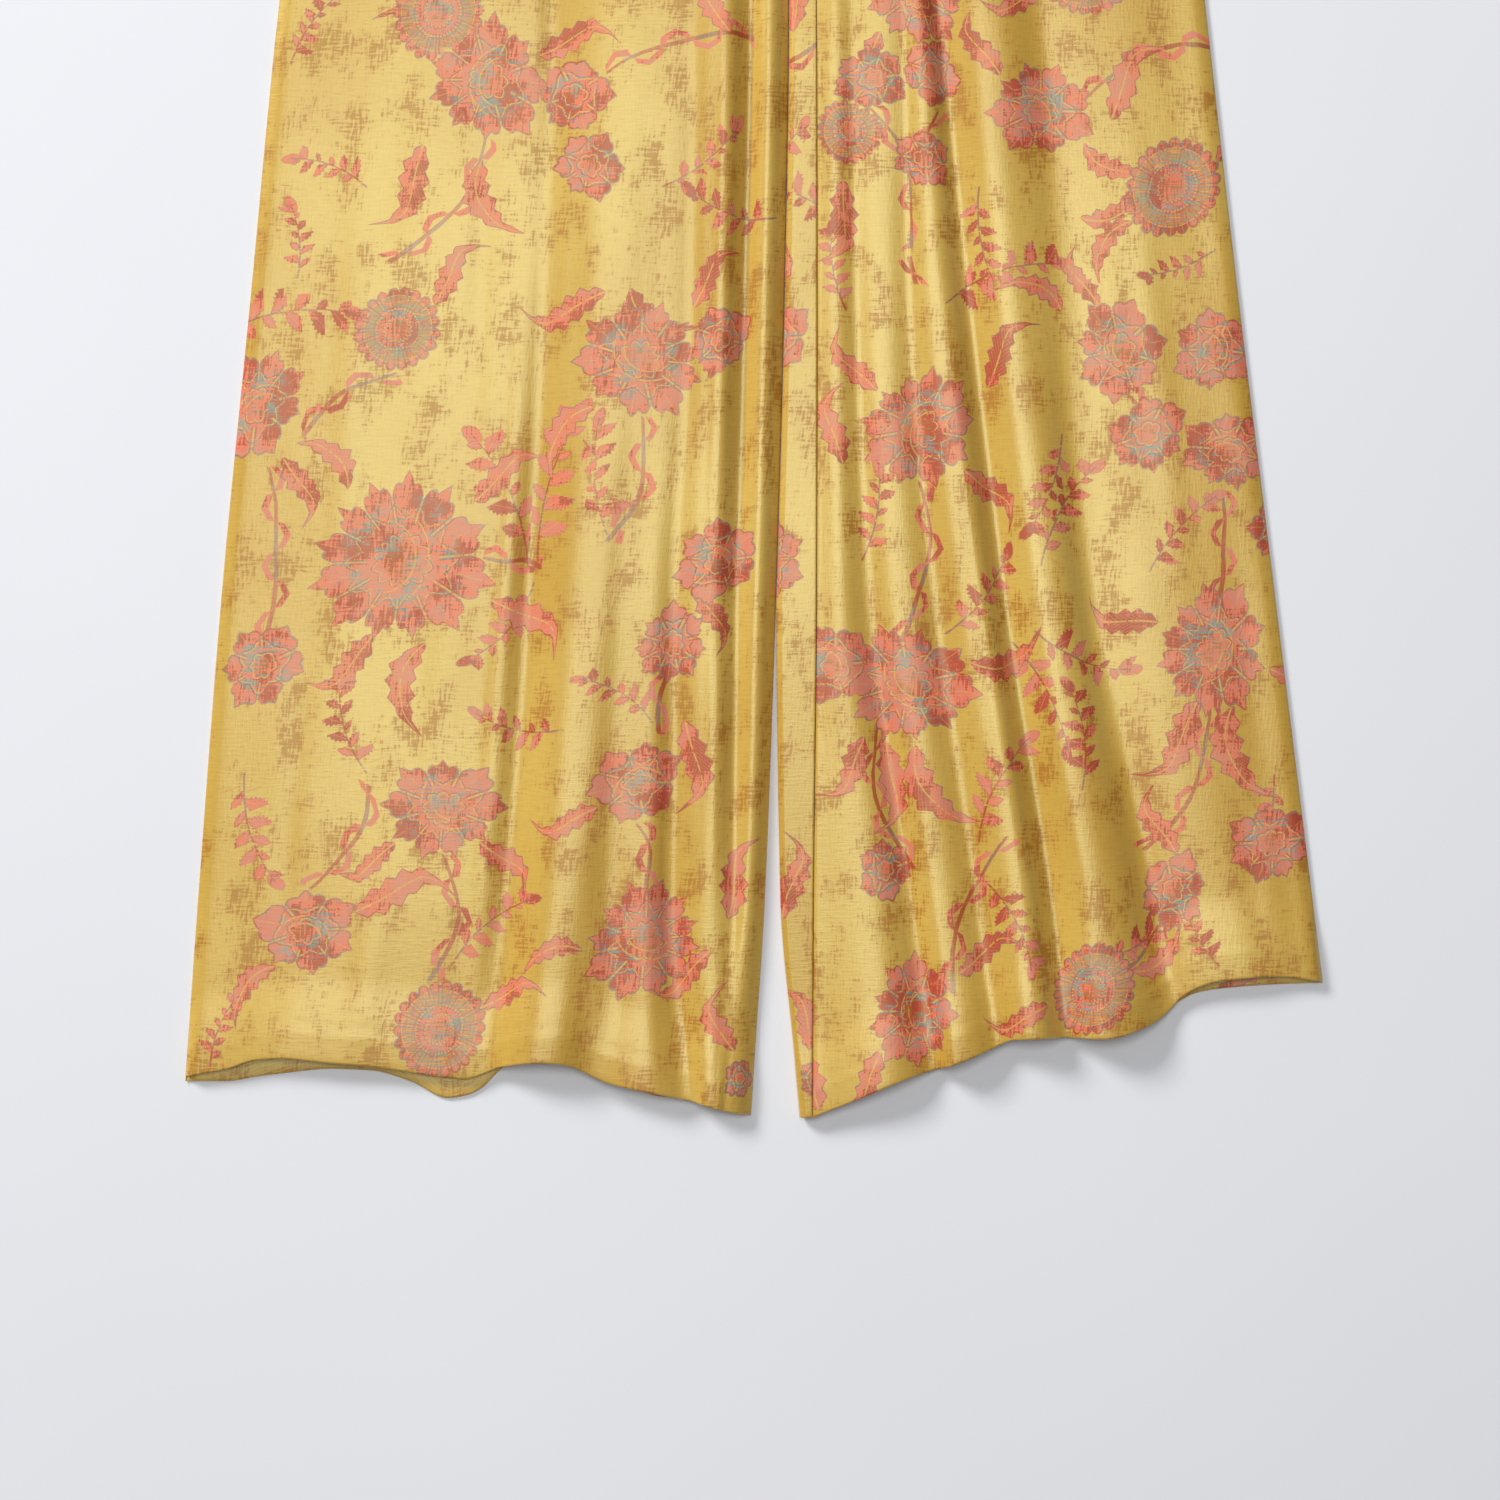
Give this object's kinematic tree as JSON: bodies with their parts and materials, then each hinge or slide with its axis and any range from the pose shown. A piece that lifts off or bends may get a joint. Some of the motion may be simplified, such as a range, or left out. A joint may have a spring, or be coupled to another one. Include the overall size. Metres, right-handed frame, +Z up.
{
  "type": "wide-leg trousers",
  "caption": "Pull-on wide-leg trousers in golden floral brocade, laid flat on a surface with the front side up and soft lengthwise folds.",
  "frame": {"origin": "on the surface, under the middle of the garment's outline", "axes": "+Y from the hems to the waist, +Z up from the surface through the front of the garment, +X across towards the wearer's left leg"},
  "size_m": [0.739, 1.0834, 0.0212],
  "materials": {
    "brocade": "smooth figured satin, golden yellow ground with pink flowers and ochre woven patches"
  },
  "bodies": {
    "root": {"front_right": "brocade", "front_left": "brocade", "back_right": "brocade", "back_left": "brocade", "hem_front_right": "brocade", "hem_front_left": "brocade", "hem_back_right": "brocade", "hem_back_left": "brocade", "waistband_front": "brocade", "waistband_back": "brocade"}
  },
  "joints": []
}
